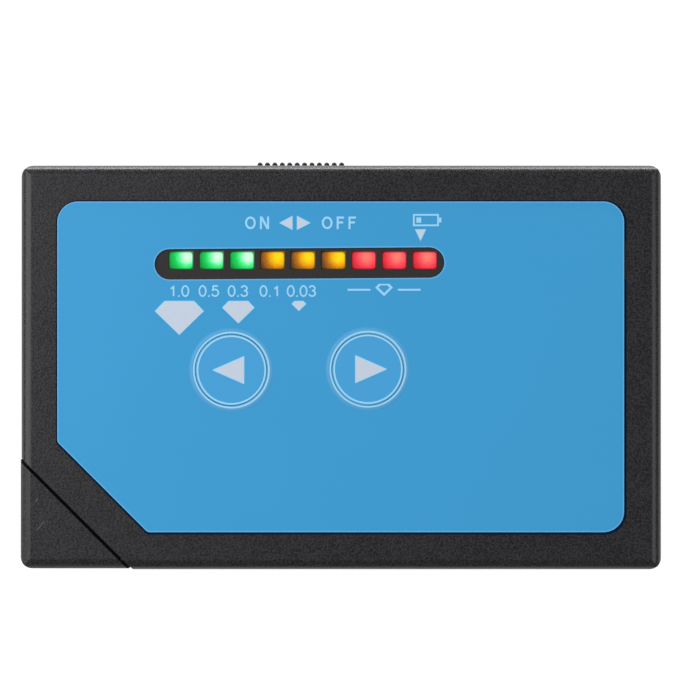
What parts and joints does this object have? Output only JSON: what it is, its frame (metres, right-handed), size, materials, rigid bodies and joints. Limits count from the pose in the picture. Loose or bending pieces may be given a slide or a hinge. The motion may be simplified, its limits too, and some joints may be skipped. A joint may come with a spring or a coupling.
{
  "type": "diamond tester",
  "caption": "Flat pocket diamond tester: black two-shell case with a blue front film, a lamp row, round keys, a side power slide and a sprung probe under a pull-off corner cap.",
  "frame": {"origin": "middle of the case's flat back, which lies on the table", "axes": "+X along the case's length towards its battery end, +Y towards the edge with the power slide, +Z out of the front film"},
  "size_m": [0.1051, 0.067, 0.022],
  "materials": {
    "case_plastic": "fine spark-eroded grain, charcoal black",
    "cap_plastic": "fine spark-eroded grain, charcoal black",
    "knob_plastic": "satin black",
    "holder_plastic": "satin black",
    "front_film": "satin printed polyester",
    "key_film": "satin printed polyester",
    "lamp_green": "diffused lens, lit",
    "lamp_amber": "diffused lens, lit",
    "lamp_red": "diffused lens, lit",
    "screw_steel": "zinc plated",
    "switch_steel": "tinned",
    "spring_steel": "bright drawn wire",
    "board_laminate": "solder mask",
    "component_black": "moulded epoxy",
    "resistor_black": "thick film on ceramic",
    "plunger_grey": "moulded nylon",
    "probe_copper": "turned and polished",
    "battery_jacket": "gloss lacquer",
    "terminal_nickel": "nickel plated",
    "snap_black": "soft vinyl",
    "lead_red": "soft vinyl sleeve",
    "lead_black": "soft vinyl sleeve",
    "lead_white": "soft vinyl sleeve",
    "lead_yellow": "soft vinyl sleeve",
    "capacitor_sleeve": "heat-shrunk sleeve",
    "trimmer_blue": "moulded nylon"
  },
  "bodies": {
    "case": {"front_cover": "case_plastic", "rear_cover": "case_plastic", "film_overlay": "front_film", "case_screws": "screw_steel", "main_board": "board_laminate", "board_screws": "screw_steel", "green_led_1": "lamp_green", "green_led_2": "lamp_green", "green_led_3": "lamp_green", "amber_led_1": "lamp_amber", "amber_led_2": "lamp_amber", "amber_led_3": "lamp_amber", "red_led_1": "lamp_red", "red_led_2": "lamp_red", "red_led_3": "lamp_red", "left_switch_body": "component_black", "right_switch_body": "component_black", "power_switch_body": "switch_steel", "probe_holder": "holder_plastic", "probe_spring": "spring_steel", "probe_end_cap": "plunger_grey", "probe_lead_white": "lead_white", "probe_lead_yellow": "lead_yellow", "battery": "battery_jacket", "battery_terminals": "terminal_nickel", "battery_snap": "snap_black", "battery_lead_red": "lead_red", "battery_lead_black": "lead_black", "buzzer": "component_black", "controller_chip": "component_black", "amplifier_chip": "component_black", "lamp_resistors": "resistor_black", "capacitors": "capacitor_sleeve", "trimmer": "trimmer_blue", "regulator": "component_black"},
    "left_key": {"left_key": "key_film", "left_switch_plunger": "plunger_grey"},
    "right_key": {"right_key": "key_film", "right_switch_plunger": "plunger_grey"},
    "power_knob": {"power_knob": "knob_plastic", "power_switch_lever": "component_black"},
    "probe": {"probe_needle": "probe_copper"},
    "probe_cap": {"probe_cap": "cap_plastic"},
    "battery_door": {"battery_door": "case_plastic"}
  },
  "joints": [
    {"name": "left_key_press", "type": "slide", "parent": "case", "child": "left_key", "axis": [0, 0, -1], "range_m": [0, 0.0003], "stiffness_N_per_m": 4000},
    {"name": "right_key_press", "type": "slide", "parent": "case", "child": "right_key", "axis": [0, 0, -1], "range_m": [0, 0.0003], "stiffness_N_per_m": 4000},
    {"name": "power_knob_slide", "type": "slide", "parent": "case", "child": "power_knob", "axis": [-1, 0, 0], "range_m": [0, 0.002]},
    {"name": "probe_press", "type": "slide", "parent": "case", "child": "probe", "axis": [0.7071, 0.7071, 0], "range_m": [0, 0.0012], "stiffness_N_per_m": 600, "deforming": ["probe_spring"]},
    {"name": "cap_pull", "type": "slide", "parent": "case", "child": "probe_cap", "axis": [-0.7071, -0.7071, 0], "range_m": [0, 0.02]},
    {"name": "door_slide", "type": "slide", "parent": "case", "child": "battery_door", "axis": [0, -1, 0], "range_m": [0, 0.056]}
  ]
}
